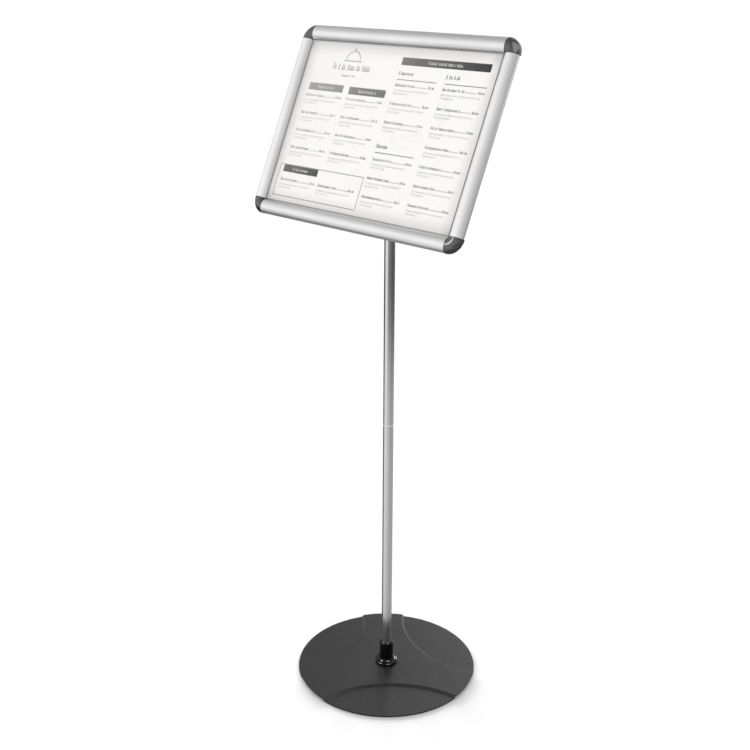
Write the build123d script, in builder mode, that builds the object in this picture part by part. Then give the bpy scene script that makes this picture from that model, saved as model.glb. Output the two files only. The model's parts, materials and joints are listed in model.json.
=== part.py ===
"""Floor-standing A3 sign stand: pressed base, two-part pole, tilting head and snap frame.

Origin: on the floor at the pole axis. +Z is up and the sign faces -Y.
"""

from build123d import *
import math
import os

os.makedirs("parts", exist_ok=True)

# ---------------------------------------------------------------- driving dimensions (mm, degrees)

# Base
base_radius = 163.0
sheet = 2.0
pad_height = 0.8
star_rise = 3.6  # height of the raised three-legged star above the three lowered fields
arc_centre = 268.5  # distance from the pole axis to the centre of each field's inner arc
arc_radius = 196.0  # inner arc of a lowered field, at the top of its wall
wall_run = 4.2  # horizontal width of the sloping wall round a field
bend_outside = 2.4  # radius on the outside of each bend in the pressing
bend_inside = 1.0
rim_round = 0.4
field_angle = 75.2  # direction of the first lowered field, from +X
pad_radius = 8.0
pad_inset = 18.0  # from the rim to a pad's centre
pad_spread = 22.0  # each pad's angle from the middle of its field

# Fixing under the base
fixing_washer = 1.0
fixing_washer_radius = 12.0
bolt_head = 2.6  # low hexagon head
bolt_head_radius = 7.5
bolt_length = 34.0

# Pole
pole_radius = 9.0
pole_bore = 7.5
joint_height = 483.0  # top of the lower pole
ring_height = 1.2
pole_top = 952.0
insert_length = 32.0  # threaded plugs at the joint
foot_insert_length = 40.0
stud_length = 50.0
stud_engagement = 24.0  # how far the joining stud enters the lower pole

# Collar at the foot of the pole
collar_top = 48.5
ring_radius = 20.5
ring_rise = 5.4  # height of the rounded foot ring
ring_shoulder = 3.1  # how far the ring's rounded shoulder comes in
flare_rise = 7.0  # height of the concave flare above the ring
sleeve_foot = 12.8
sleeve_top = 12.1

# Head
pivot_height = 972.0
tilt = 24.7  # the sign leans back this far from vertical
pivot_to_panel = 36.5  # from the tilt axis to the middle plane of the frame
tongue = 12.0  # width of the head's tongue along the tilt axis
tongue_radius = 10.0
tongue_neck = 13.0
shoulder = 4.0
spigot = 36.0  # length of the head's spigot inside the pole
screw_drop = 18.0  # the head's set screw, below the top of the pole
washer = 1.0
ear = 3.0
ear_radius = 11.0
pivot_head = 4.0
pivot_head_radius = 6.0

# Clamp knob
knob_gap = 0.3  # between the knob and the ear
hub_radius = 8.0
hub = 4.0  # the part of the hub that shows below the grip
grip_radius = 12.5
grip = 14.0
lobe_radius = 4.0
lobe_centre = 11.5
insert_cover = 1.0  # plastic in front of the hexagonal insert
hex_insert = 13.0
hex_insert_radius = 6.0

# Snap frame, seen from the front: u to the right, v upward, w out of the face
poster_width = 420.0
poster_height = 297.0
rail_width = 25.0
edge_cover = 11.0  # how far the rail hides each edge of the poster
half_depth = 6.5  # the frame is 13 mm deep, from w = -6.5 to w = 6.5
cap_gap = 0.35  # gap between a snap cover and a corner cap

# Leaf springs
spring_width = 18.0
spring_strip = 0.5

# Small fixings
set_screw_length = 5.5
set_screw_hole = 5.0
hex_recess_radius = 1.4
hex_recess_depth = 2.5
knob_bore_run_out = 2.5  # how far the knob's bore runs on past the insert
grip_round = 1.6
spring_washer_radius = 5.6
swivel_nut_radius = 5.7
swivel_head_radius = 7.0
swivel_head_hole = 7.5
swivel_thread_end = 1.5  # thread left showing behind the nut
mounting_plate_width = 172.0
mounting_plate_height = 122.0
mounting_plate_corner = 9.0
stop_pin_hole = 2.0
stop_pin_radius = 1.95
plate_screw_head_radius = 3.6
plate_screw_head = 1.8
countersink_radius = 2.7
countersunk_head_radius = 2.6
screw_recess_radius = 1.0
screw_recess_depth = 0.9
key_screw_length = 3.8
cap_screw_length = 7.5
cap_boss_radius = 2.6
cap_boss_bore = 4.5

# ---------------------------------------------------------------- derived dimensions

field_top = pad_height + sheet
star_bottom = pad_height + star_rise
star_top = field_top + star_rise
upper_pole_bottom = joint_height + ring_height

opening_u = poster_width / 2 - edge_cover  # half the visible opening
opening_v = poster_height / 2 - edge_cover
outer_u = opening_u + rail_width
outer_v = opening_v + rail_width

lean = math.radians(tilt)
face_normal = Vector(0, -math.cos(lean), math.sin(lean))
pivot = Vector(0, 0, pivot_height)
panel = Plane(origin=pivot + face_normal * pivot_to_panel, x_dir=(1, 0, 0), z_dir=face_normal)

# Layers behind the rails' front, measured along w
back = -half_depth
floor_top = back + 1.2  # inner face of a rail's floor
backing_back = -5.0
backing_front = -2.0
poster_back = -1.95
poster_front = -1.70
window_back = -1.60
window_front = -1.00
lip = -0.8  # the snap cover's lip stands just above the clear window

# Hinge of a snap cover, in its rail's section: x from the outer edge inward, y = w
hinge_x = 2.6
hinge_y = -3.4
bead_radius = 1.5
socket_radius = 1.6
socket_wall = 1.0
rail_floor_start = 1.6  # where the rail's floor begins
stop_wall_x = 12.3  # wall that the sheets stop against
stop_wall = 1.0
stop_wall_rise = 5.2

# Rail section
crown_x = rail_width / 2
skin = 1.2
cap_skin = 1.5
arch_radius = (crown_x**2 + (half_depth - lip) ** 2) / (2 * (half_depth - lip))
arch_y = half_depth - arch_radius

# Corner key, measured from the inner corner of the opening
key_inner = 14.0
key_outer = 19.0
elbow_inner = 16.0
elbow_outer = 21.0
key_reach = 30.0
arm_root = 2.0  # overlap of each arm with the elbow
key_thickness = 3.0
key_mid = (key_inner + key_outer) / 2
key_screw_at = 15.0

# Screws (radii)
m3 = 1.4
m4 = 1.9
m5 = 2.4
m6 = 3.0
m8 = 3.95
clearance = 0.1

# Mounting plate and swivel
plate_front = backing_back
plate_back = plate_front - 2.0
swivel_washer_back = plate_back - 1.0
flange_back = swivel_washer_back - ear
spring_washer_back = flange_back - 1.0
swivel_nut_back = spring_washer_back - 5.0
flange_radius = 27.0
stop_radius = 20.0  # the stop pin's distance from the swivel axis
stop_start = 135.0  # the stop pin's direction at rest
stop_sweep = 90.0


def save(piece, name):
    """Label a finished piece and write it under its node name."""
    piece.part.label = name
    export_step(piece.part, f"parts/{name}.step")


def on_panel(u, v, w):
    """Location in the panel's own axes."""
    return panel.location * Location((u, v, w))


# ================================================================ base

wall_slope = star_rise / wall_run
wall_length = math.hypot(star_rise, wall_run)
wall_offset = sheet * wall_length / star_rise  # sheet thickness, measured horizontally through the wall
inner_floor_radius = arc_radius - wall_run

with BuildPart() as base_plate:
    # the three trays under the lowered fields
    with PolarLocations(arc_centre, 3, start_angle=field_angle):
        with Locations((0, 0, pad_height)):
            Cone(
                bottom_radius=inner_floor_radius + wall_offset - sheet / wall_slope,
                top_radius=arc_radius + wall_offset - sheet / wall_slope,
                height=star_rise,
                align=(Align.CENTER, Align.CENTER, Align.MIN),
            )
    # the raised star
    with BuildSketch(Plane.XY.offset(star_bottom)):
        Circle(base_radius)
    extrude(amount=sheet)
    # round outline
    with BuildSketch(Plane.XY):
        Circle(base_radius)
    extrude(amount=star_top, mode=Mode.INTERSECT)
    # the lowered fields, with sloping walls
    with PolarLocations(arc_centre, 3, start_angle=field_angle):
        with Locations((0, 0, field_top)):
            Cone(
                bottom_radius=inner_floor_radius,
                top_radius=arc_radius,
                height=star_rise,
                align=(Align.CENTER, Align.CENTER, Align.MIN),
                mode=Mode.SUBTRACT,
            )
    # rounded bends: the outside ones face out of the pressing, the inside ones are its hollows
    for height, bend in (
        (star_top, bend_outside),
        (pad_height, bend_outside),
        (field_top, bend_inside),
        (star_bottom, bend_inside),
    ):
        level = base_plate.edges().filter_by_position(Axis.Z, height - 0.01, height + 0.01)
        fillet(level.filter_by(GeomType.CIRCLE).filter_by(lambda e: e.radius > base_radius + 1), bend)
    # sheet edges round the rim
    outline = base_plate.edges().filter_by(GeomType.CIRCLE).filter_by(
        lambda e: abs(e.radius - base_radius) < 0.01 and e.bounding_box().size.Z < 0.01
    )
    fillet(outline, rim_round)
    with Locations((0, 0, star_top)):
        Hole(radius=m8 + clearance)
save(base_plate, "base_plate")

with BuildPart() as floor_pads:
    # two round pads under each lowered field
    with BuildSketch(Plane.XY):
        for turn in (-pad_spread, pad_spread):
            with PolarLocations(base_radius - pad_inset, 3, start_angle=field_angle + turn):
                Circle(pad_radius)
    extrude(amount=pad_height)
save(floor_pads, "floor_pads")

fixing_washer_bottom = star_bottom - fixing_washer
with BuildPart() as base_washer:
    with BuildSketch(Plane.XY.offset(fixing_washer_bottom)):
        Circle(fixing_washer_radius)
        Circle(m8 + clearance, mode=Mode.SUBTRACT)
    extrude(amount=fixing_washer)
save(base_washer, "base_washer")

bolt_bottom = fixing_washer_bottom - bolt_head
with BuildPart() as base_bolt:
    with BuildSketch(Plane.XY.offset(bolt_bottom)):
        RegularPolygon(radius=bolt_head_radius, side_count=6)
    extrude(amount=bolt_head)
    with BuildSketch(Plane.XY.offset(bolt_bottom)):
        Circle(m8)
    extrude(amount=bolt_length)
save(base_bolt, "base_bolt")

ring_top = star_top + ring_rise
flare_top = ring_top + flare_rise
with BuildPart() as base_collar:
    # sleeve that flares into a rounded foot ring
    with BuildSketch(Plane.XZ):
        with BuildLine():
            foot = Line((pole_radius + clearance, star_top), (ring_radius - 0.9, star_top))
            rim = ThreePointArc(
                foot @ 1,
                (ring_radius, star_top + ring_rise * 0.4),
                (ring_radius - ring_shoulder, ring_top),
            )
            flare = ThreePointArc(
                rim @ 1,
                (sleeve_foot + 1.3, ring_top + flare_rise * 0.32),
                (sleeve_foot, flare_top),
            )
            side = Line(flare @ 1, (sleeve_top, collar_top - 0.8))
            edge = ThreePointArc(
                side @ 1, (sleeve_top - 0.3, collar_top - 0.2), (sleeve_top - 0.9, collar_top)
            )
            mouth = Line(edge @ 1, (pole_radius + clearance, collar_top))
            Line(mouth @ 1, foot @ 0)
        make_face()
    revolve(axis=Axis.Z)
save(base_collar, "base_collar")

# ================================================================ pole


def plug(bottom, length):
    """Threaded steel plug pressed into the end of a pole tube."""
    with BuildPart() as insert:
        with BuildSketch(Plane.XY.offset(bottom)):
            Circle(pole_bore - 0.05)
            Circle(m8 + clearance / 2, mode=Mode.SUBTRACT)
        extrude(amount=length)
        chamfer(insert.edges().filter_by(GeomType.CIRCLE).group_by(Axis.Z)[-1].sort_by(SortBy.RADIUS)[-1], 0.6)
    return insert


def tube(bottom, top, screw_height=None):
    """One half of the pole, with a hole at the back for a set screw if its height is given."""
    with BuildPart() as half:
        with BuildSketch(Plane.XY.offset(bottom)):
            Circle(pole_radius)
            Circle(pole_bore, mode=Mode.SUBTRACT)
        extrude(amount=top - bottom)
        if screw_height:
            with BuildSketch(Plane(origin=(0, pole_radius + 1, screw_height), z_dir=(0, 1, 0))):
                Circle(m5 + clearance)
            extrude(amount=-5, mode=Mode.SUBTRACT)
    return half


save(plug(star_top, foot_insert_length), "pole_foot_insert")
save(tube(star_top, joint_height), "lower_pole")
save(plug(joint_height - insert_length, insert_length), "lower_joint_insert")
save(plug(upper_pole_bottom, insert_length), "upper_joint_insert")

with BuildPart() as joining_stud:
    with BuildSketch(Plane.XY.offset(joint_height - stud_engagement)):
        Circle(m8)
    extrude(amount=stud_length)
    chamfer(joining_stud.edges().filter_by(GeomType.CIRCLE), 0.7)
save(joining_stud, "joining_stud")

with BuildPart() as joint_ring:
    with BuildSketch(Plane.XY.offset(joint_height)):
        Circle(pole_radius + 0.15)
        Circle(m8 + 2 * clearance, mode=Mode.SUBTRACT)
    extrude(amount=ring_height)
save(joint_ring, "joint_ring")

set_screw_height = pole_top - screw_drop
save(tube(upper_pole_bottom, pole_top, set_screw_height), "upper_pole")

# ================================================================ head

with BuildPart() as pole_head:
    # spigot inside the pole
    with BuildSketch(Plane.XY.offset(pole_top - spigot)):
        Circle(pole_bore - 0.05)
    extrude(amount=spigot)
    # shoulder that caps the tube
    with BuildSketch(Plane.XY.offset(pole_top)):
        Circle(pole_radius)
    extrude(amount=shoulder)
    chamfer(pole_head.edges().filter_by(GeomType.CIRCLE).group_by(Axis.Z)[-1], 0.8)
    # flat tongue with a round end about the tilt axis
    with BuildSketch(Plane(origin=(-tongue / 2, 0, pivot_height), x_dir=(0, 1, 0), z_dir=(1, 0, 0))):
        Circle(tongue_radius)
        with Locations((0, -(pivot_height - pole_top - shoulder) / 2)):
            Rectangle(tongue_neck, pivot_height - pole_top - shoulder)
    extrude(amount=tongue)
    # pivot bore and set-screw hole
    with BuildSketch(Plane(origin=(-tongue / 2, 0, pivot_height), z_dir=(1, 0, 0))):
        Circle(m6 + clearance)
    extrude(amount=tongue, mode=Mode.SUBTRACT)
    with BuildSketch(Plane(origin=(0, pole_bore, set_screw_height), z_dir=(0, 1, 0))):
        Circle(m5 + clearance)
    extrude(amount=-set_screw_hole, mode=Mode.SUBTRACT)
save(pole_head, "pole_head")

with BuildPart() as head_set_screw:
    with BuildSketch(Plane(origin=(0, pole_radius, set_screw_height), z_dir=(0, 1, 0))):
        Circle(m5)
    extrude(amount=-set_screw_length)
    with BuildSketch(Plane(origin=(0, pole_radius, set_screw_height), z_dir=(0, 1, 0))):
        RegularPolygon(radius=hex_recess_radius, side_count=6)
    extrude(amount=-hex_recess_depth, mode=Mode.SUBTRACT)
save(head_set_screw, "head_set_screw")

ear_inner = tongue / 2 + washer
ear_outer = ear_inner + ear


def across(x):
    """Plane square to the tilt axis, centred on it: x runs up the panel, y toward its face."""
    return Plane(origin=(x, 0, pivot_height), x_dir=panel.y_dir, z_dir=(1, 0, 0))


with BuildPart() as friction_washers:
    for start in (tongue / 2, -ear_inner):
        with BuildSketch(across(start)):
            Circle(tongue_radius)
            Circle(m6 + clearance, mode=Mode.SUBTRACT)
        extrude(amount=washer)
save(friction_washers, "friction_washers")

flange_front_reach = pivot_to_panel + swivel_washer_back  # from the tilt axis to the flange's front
with BuildPart() as tilt_bracket:
    # round flange behind the sign
    with BuildSketch(panel.offset(flange_back)):
        Circle(flange_radius)
    extrude(amount=ear)
    # two ears that straddle the tongue
    for start in (ear_inner, -ear_outer):
        with BuildSketch(across(start)):
            Circle(ear_radius)
            with Locations((0, flange_front_reach - ear - 0.5)):
                Rectangle(40, 1)
            make_hull()
        extrude(amount=ear)
    # pivot bore, swivel bore and the arc slot of the swivel stop
    with BuildSketch(across(-ear_outer)):
        Circle(m6 + clearance)
    extrude(amount=2 * ear_outer, mode=Mode.SUBTRACT)
    with BuildSketch(panel.offset(flange_back)):
        Circle(m6 + clearance)
        with BuildLine():
            slot = CenterArc((0, 0), stop_radius, stop_start, stop_sweep)
        SlotArc(slot.edge(), height=5)
    extrude(amount=ear, mode=Mode.SUBTRACT)
save(tilt_bracket, "tilt_bracket")

knob_start = ear_outer + knob_gap
with BuildPart() as pivot_bolt:
    with BuildSketch(across(-ear_outer - pivot_head)):
        Circle(pivot_head_radius)
    extrude(amount=pivot_head)
    fillet(pivot_bolt.edges().sort_by(Axis.X)[0], 1.5)
    with BuildSketch(across(-ear_outer)):
        Circle(m6)
    extrude(amount=2 * ear_outer + 15)
save(pivot_bolt, "pivot_bolt")

with BuildPart() as knob_insert:
    with BuildSketch(across(knob_start + insert_cover)):
        RegularPolygon(radius=hex_insert_radius, side_count=6)
        Circle(m6 + clearance, mode=Mode.SUBTRACT)
    extrude(amount=hex_insert)
save(knob_insert, "knob_insert")

with BuildPart() as clamp_knob:
    # hub against the ear
    with BuildSketch(across(knob_start)):
        Circle(hub_radius)
    extrude(amount=hub + 2)
    # lobed grip
    with BuildSketch(across(knob_start + hub)):
        Circle(grip_radius)
        with PolarLocations(lobe_centre, 6):
            Circle(lobe_radius)
    extrude(amount=grip)
    fillet(clamp_knob.faces().sort_by(Axis.X)[-1].edges(), grip_round)
    # pocket for the hexagonal insert, and the bolt's bore
    with BuildSketch(across(knob_start)):
        Circle(m6 + 3 * clearance)
    extrude(amount=hex_insert + knob_bore_run_out, mode=Mode.SUBTRACT)
    with BuildSketch(across(knob_start + insert_cover)):
        RegularPolygon(radius=hex_insert_radius, side_count=6)
    extrude(amount=hex_insert, mode=Mode.SUBTRACT)
save(clamp_knob, "clamp_knob")

# ================================================================ swivel and mounting plate

with BuildPart() as swivel_washer:
    with BuildSketch(panel.offset(swivel_washer_back)):
        Circle(flange_radius - 1)
        Circle(m6 + clearance, mode=Mode.SUBTRACT)
        with BuildLine():
            washer_slot = CenterArc((0, 0), stop_radius, stop_start, stop_sweep)
        SlotArc(washer_slot.edge(), height=5, mode=Mode.SUBTRACT)
    extrude(amount=plate_back - swivel_washer_back)
save(swivel_washer, "swivel_washer")

with BuildPart() as spring_washer:
    with BuildSketch(panel.offset(spring_washer_back)):
        Circle(spring_washer_radius)
        Circle(m6 + clearance, mode=Mode.SUBTRACT)
    extrude(amount=flange_back - spring_washer_back)
save(spring_washer, "swivel_spring_washer")

with BuildPart() as swivel_nut:
    with BuildSketch(panel.offset(swivel_nut_back)):
        RegularPolygon(radius=swivel_nut_radius, side_count=6)
        Circle(m6 + clearance / 2, mode=Mode.SUBTRACT)
    extrude(amount=spring_washer_back - swivel_nut_back)
save(swivel_nut, "swivel_nut")

swivel_head = 2.4
with BuildPart() as swivel_bolt:
    with BuildSketch(panel.offset(plate_front)):
        Circle(swivel_head_radius)
    extrude(amount=swivel_head)
    with BuildSketch(panel.offset(plate_front)):
        Circle(m6)
    extrude(amount=-(plate_front - swivel_nut_back + swivel_thread_end))
save(swivel_bolt, "swivel_bolt")

stop_u = stop_radius * math.cos(math.radians(stop_start))
stop_v = stop_radius * math.sin(math.radians(stop_start))
plate_screw_pitch_u = 140.0
plate_screw_pitch_v = 90.0

with BuildPart() as mounting_plate:
    with BuildSketch(panel.offset(plate_back)):
        RectangleRounded(mounting_plate_width, mounting_plate_height, mounting_plate_corner)
        Circle(m6 + clearance, mode=Mode.SUBTRACT)
        with GridLocations(plate_screw_pitch_u, plate_screw_pitch_v, 2, 2):
            Circle(m4 + clearance, mode=Mode.SUBTRACT)
        with Locations((stop_u, stop_v)):
            Circle(stop_pin_hole, mode=Mode.SUBTRACT)
    extrude(amount=plate_front - plate_back)
save(mounting_plate, "mounting_plate")

with BuildPart() as swivel_stop_pin:
    with BuildSketch(panel.offset(flange_back)):
        with Locations((stop_u, stop_v)):
            Circle(stop_pin_radius)
    extrude(amount=plate_front - flange_back)
save(swivel_stop_pin, "swivel_stop_pin")

with BuildPart() as plate_screws:
    # low domed heads on the plate, shanks in the backing
    with BuildSketch(panel.offset(plate_back)):
        with GridLocations(plate_screw_pitch_u, plate_screw_pitch_v, 2, 2):
            Circle(plate_screw_head_radius)
    extrude(amount=-plate_screw_head)
    face_axis = Axis(panel.origin, panel.z_dir)
    fillet(plate_screws.edges().filter_by(GeomType.CIRCLE).group_by(face_axis)[0], 1.2)
    with BuildSketch(panel.offset(plate_back)):
        with GridLocations(plate_screw_pitch_u, plate_screw_pitch_v, 2, 2):
            Circle(m4)
    extrude(amount=4.6)
save(plate_screws, "plate_screws")

# ================================================================ sheets held in the frame


def a3_sheet(rear, front, holes=False):
    """A3 sheet between two depths, with the backing's screw and bolt-head holes if asked."""
    with BuildPart() as layer:
        with BuildSketch(panel.offset(rear)):
            Rectangle(poster_width, poster_height)
            if holes:
                Circle(swivel_head_hole, mode=Mode.SUBTRACT)
                with GridLocations(plate_screw_pitch_u, plate_screw_pitch_v, 2, 2):
                    Circle(m4 + clearance, mode=Mode.SUBTRACT)
        extrude(amount=front - rear)
    return layer


save(a3_sheet(backing_back, backing_front, holes=True), "backing_panel")
save(a3_sheet(poster_back, poster_front), "poster_sheet")
save(a3_sheet(window_back, window_front), "clear_window")

# ================================================================ rails, snap covers and springs

# name, turn about the face normal, distance from the centre to the outer edge, half the rail's length
sides = (
    ("bottom", 0, outer_v, opening_u),
    ("right", 90, outer_u, opening_v),
    ("top", 180, outer_v, opening_u),
    ("left", 270, outer_u, opening_v),
)


def side_plane(turn, reach, half_length):
    """Section plane of one side: x runs inward from the outer edge, y to the front, z along the rail."""
    along = Vector(1, 0, 0).rotate(Axis.Z, turn)
    inward = Vector(0, 1, 0).rotate(Axis.Z, turn)
    local = Plane(origin=inward * -reach - along * half_length, x_dir=inward, z_dir=along)
    return Plane(panel.location * local.location)


def at_angle(radius, angle):
    """Point in the rail section at an angle about the snap cover's hinge."""
    a = math.radians(angle)
    return (hinge_x + radius * math.cos(a), hinge_y + radius * math.sin(a))


def key_screw_locations():
    """The eight screws through the rail floors into the corner keys, at the back face."""
    spots = []
    for side_u in (-1, 1):
        for side_v in (-1, 1):
            corner_u = side_u * opening_u
            corner_v = side_v * opening_v
            spots.append(on_panel(corner_u + side_u * key_mid, corner_v - side_v * key_screw_at, back))
            spots.append(on_panel(corner_u - side_u * key_screw_at, corner_v + side_v * key_mid, back))
    return spots


def base_rail(plane, length):
    """Aluminium extrusion: flat floor, hinge socket at the outer edge and a stop wall for the sheets."""
    with BuildPart() as rail:
        with BuildSketch(plane):
            with Locations((hinge_x, hinge_y)):
                Circle(socket_radius + socket_wall)
                Circle(socket_radius, mode=Mode.SUBTRACT)
            # mouth of the socket, for the snap cover's web
            with BuildLine():
                Polyline(
                    (hinge_x, hinge_y), at_angle(4, 108), at_angle(7, 175), at_angle(4, 242), close=True
                )
            make_face(mode=Mode.SUBTRACT)
            with Locations((rail_floor_start, back)):
                Rectangle(rail_width - 1 - rail_floor_start, floor_top - back, align=Align.MIN)
            with Locations((stop_wall_x, back)):
                Rectangle(stop_wall, stop_wall_rise, align=Align.MIN)
        extrude(amount=length)
        # countersunk holes for the corner-key screws
        with Locations(*key_screw_locations()):
            Cone(
                bottom_radius=countersink_radius,
                top_radius=m3 + clearance,
                height=floor_top - back,
                align=(Align.CENTER, Align.CENTER, Align.MIN),
                mode=Mode.SUBTRACT,
            )
    return rail


def arch_point(x, thickness):
    """Height of the snap cover's arched skin at x, measured on its face this far below the outside."""
    return arch_y + math.sqrt((arch_radius - thickness) ** 2 - (x - crown_x) ** 2)


def snap_cover(plane, length):
    """Arched aluminium cover with a hinge bead at its outer edge and a lip over the window."""
    inner_half = math.sqrt((arch_radius - skin) ** 2 - (lip - arch_y) ** 2)
    with BuildPart() as cover:
        with BuildSketch(plane):
            with BuildLine():
                outside = ThreePointArc((0, lip), (crown_x, half_depth), (rail_width, lip))
                lip_face = Line(outside @ 1, (crown_x + inner_half, lip))
                inside = ThreePointArc(
                    lip_face @ 1, (crown_x, half_depth - skin), (crown_x - inner_half, lip)
                )
                Line(inside @ 1, outside @ 0)
            make_face()
            # web down to the hinge bead
            with BuildLine():
                Polyline(
                    (0, lip),
                    (crown_x - inner_half, lip),
                    at_angle(bead_radius, 122),
                    at_angle(bead_radius, 150),
                    (0, -1.7),
                    close=True,
                )
            make_face()
            with Locations((hinge_x, hinge_y)):
                Circle(bead_radius)
        extrude(amount=length)
    return cover


def leaf_springs(plane, length):
    """Two bent spring-steel strips that hold one snap cover open or shut."""
    seat = floor_top + spring_strip / 2
    with BuildPart() as springs:
        for start in (0.2 * length, 0.8 * length - spring_width):
            with BuildSketch(plane.offset(start)):
                with BuildLine():
                    foot = Line((11.6, seat), (6.4, seat))
                    rise = ThreePointArc(foot @ 1, (6.6, -1.0), (10.4, 2.3))
                    Line(rise @ 1, (15.2, 3.4))
                trace(line_width=spring_strip)
            extrude(amount=spring_width)
    return springs


for name, turn, reach, half_length in sides:
    plane = side_plane(turn, reach, half_length)
    save(base_rail(plane, 2 * half_length), f"base_rail_{name}")
    save(snap_cover(plane.offset(cap_gap), 2 * (half_length - cap_gap)), f"snap_cover_{name}")
    save(leaf_springs(plane, 2 * half_length), f"leaf_springs_{name}")

# ================================================================ corners

# name, inner corner of the opening, turn of the corner's own axes about the face normal
corners = (
    ("bottom_right", opening_u, -opening_v, -90),
    ("top_right", opening_u, opening_v, 0),
    ("top_left", -opening_u, opening_v, 90),
    ("bottom_left", -opening_u, -opening_v, 180),
)
boss_reach = 18.4  # the cap's screw boss, from the inner corner along the diagonal
boss_x = boss_reach * math.cos(math.radians(45))
boss_top = 3.4


def corner_plane(u, v, turn, depth=0.0):
    """Plane on the inner corner: the cap fills its positive quadrant, z is the face normal."""
    return Plane(panel.location * Location((u, v, depth), (0, 0, turn)))


def corner_cap(plane):
    """Moulded cap: a quarter turn of the arched section about the inner corner, with a screw boss."""
    inner_half = math.sqrt((arch_radius - cap_skin) ** 2 - (lip - arch_y) ** 2)
    section = Plane(origin=plane.origin, x_dir=plane.x_dir, z_dir=-plane.y_dir)
    skirt = rail_width - cap_skin
    with BuildPart() as cap:
        with BuildSketch(section):
            with BuildLine():
                outside = ThreePointArc((0, lip), (crown_x, half_depth), (rail_width, lip))
                rim = Polyline(
                    outside @ 1,
                    (rail_width, back),
                    (skirt, back),
                    (skirt, arch_point(skirt, cap_skin)),
                )
                inside = ThreePointArc(
                    rim @ 1, (crown_x, half_depth - cap_skin), (crown_x - inner_half, lip)
                )
                Line(inside @ 1, outside @ 0)
            make_face()
        revolve(axis=Axis(plane.origin, plane.z_dir), revolution_arc=90)
        boss_bottom = floor_top + key_thickness
        with BuildSketch(plane.offset(boss_bottom)):
            with Locations((boss_x, boss_x)):
                Circle(cap_boss_radius)
        extrude(amount=boss_top - boss_bottom)
        with BuildSketch(plane.offset(boss_bottom)):
            with Locations((boss_x, boss_x)):
                Circle(m3 + clearance)
        extrude(amount=cap_boss_bore, mode=Mode.SUBTRACT)
    return cap


with BuildPart() as corner_keys:
    for _, u, v, turn in corners:
        key_plane = corner_plane(u, v, turn)
        # quarter-round foot that closes the corner at the back
        with BuildSketch(key_plane.offset(back)):
            with BuildLine():
                foot_arc = CenterArc((0, 0), rail_width - cap_skin - 0.3, 0, 90)
                Polyline(foot_arc @ 1, (0, 0), foot_arc @ 0)
            make_face()
        extrude(amount=floor_top - back)
        # elbow and two arms that slide into the rails
        with BuildSketch(key_plane.offset(floor_top)):
            with BuildLine():
                elbow_out = CenterArc((0, 0), elbow_outer, 0, 90)
                Line(elbow_out @ 1, (0, elbow_inner))
                elbow_in = CenterArc((0, 0), elbow_inner, 0, 90)
                Line(elbow_in @ 0, elbow_out @ 0)
            make_face()
            with Locations((key_inner, -key_reach)):
                Rectangle(key_outer - key_inner, key_reach + arm_root, align=Align.MIN)
            with Locations((-key_reach, key_inner)):
                Rectangle(key_reach + arm_root, key_outer - key_inner, align=Align.MIN)
        extrude(amount=key_thickness)
        # countersunk hole for the cap screw
        with BuildSketch(key_plane.offset(back)):
            with Locations((boss_x, boss_x)):
                Circle(m3 + clearance)
        extrude(amount=floor_top + key_thickness - back, mode=Mode.SUBTRACT)
        with Locations(key_plane.location * Location((boss_x, boss_x, back))):
            Cone(
                bottom_radius=countersink_radius,
                top_radius=m3 + clearance,
                height=floor_top - back,
                align=(Align.CENTER, Align.CENTER, Align.MIN),
                mode=Mode.SUBTRACT,
            )
    # threaded holes for the key screws
    with Locations(*key_screw_locations()):
        Cylinder(
            radius=m3 + clearance,
            height=floor_top + key_thickness - back,
            align=(Align.CENTER, Align.CENTER, Align.MIN),
            mode=Mode.SUBTRACT,
        )
save(corner_keys, "corner_keys")

for name, u, v, turn in corners:
    save(corner_cap(corner_plane(u, v, turn)), f"corner_cap_{name}")


def countersunk_screws(spots, length):
    """Countersunk screws with a round driving recess, heads flush with the back face."""
    with BuildPart() as screws:
        with Locations(*spots):
            Cone(
                bottom_radius=countersunk_head_radius,
                top_radius=m3,
                height=floor_top - back,
                align=(Align.CENTER, Align.CENTER, Align.MIN),
            )
            Cylinder(radius=m3, height=length, align=(Align.CENTER, Align.CENTER, Align.MIN))
            Cylinder(
                radius=screw_recess_radius,
                height=screw_recess_depth,
                align=(Align.CENTER, Align.CENTER, Align.MIN),
                mode=Mode.SUBTRACT,
            )
    return screws


save(countersunk_screws(key_screw_locations(), key_screw_length), "corner_key_screws")
cap_screw_spots = []
for _, u, v, turn in corners:
    cap_screw_spots.append(corner_plane(u, v, turn).location * Location((boss_x, boss_x, back)))
save(countersunk_screws(cap_screw_spots, cap_screw_length), "corner_cap_screws")
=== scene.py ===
import bmesh
import bpy
import json
import math
import random
from mathutils import Matrix, Vector


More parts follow.
